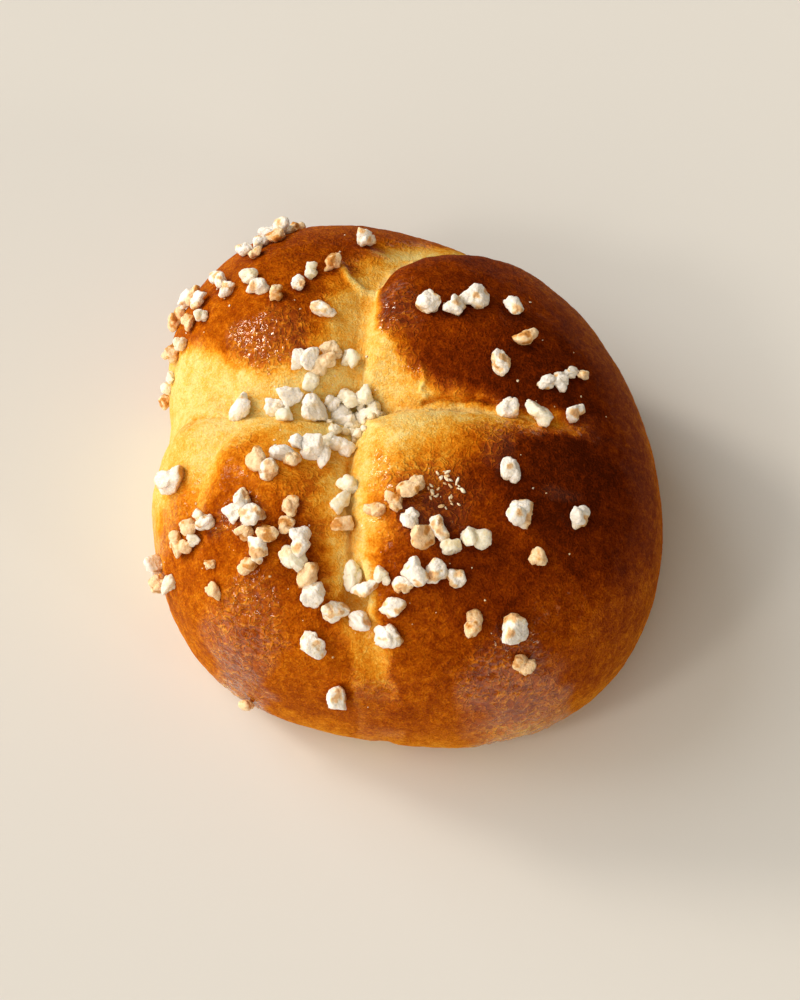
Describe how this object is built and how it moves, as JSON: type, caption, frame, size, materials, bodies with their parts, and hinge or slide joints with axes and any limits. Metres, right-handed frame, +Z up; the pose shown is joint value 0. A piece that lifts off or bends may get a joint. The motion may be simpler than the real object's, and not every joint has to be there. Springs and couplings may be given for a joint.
{
  "type": "sugar brioche",
  "caption": "Round golden-brown bun, snipped crosswise into four soft lobes, with pearl sugar baked onto its crust and a flat underside.",
  "frame": {"origin": "centre of the bun's outline in plan, on the flat underside", "axes": "+Z up, +X to the right and -Y towards the viewer of the picture"},
  "size_m": [0.1022, 0.11, 0.0559],
  "materials": {
    "crust": "egg-washed baked crust, satin to glossy, deep brown on the lobes and pale yellow in the clefts",
    "white_sugar": "opaque white pearl sugar, rough and slightly translucent",
    "toasted_sugar": "pearl sugar browned in patches, satin",
    "clear_sugar": "half-melted pearl sugar, translucent and glossy"
  },
  "bodies": {
    "root": {"bun": "crust"}
  },
  "joints": []
}
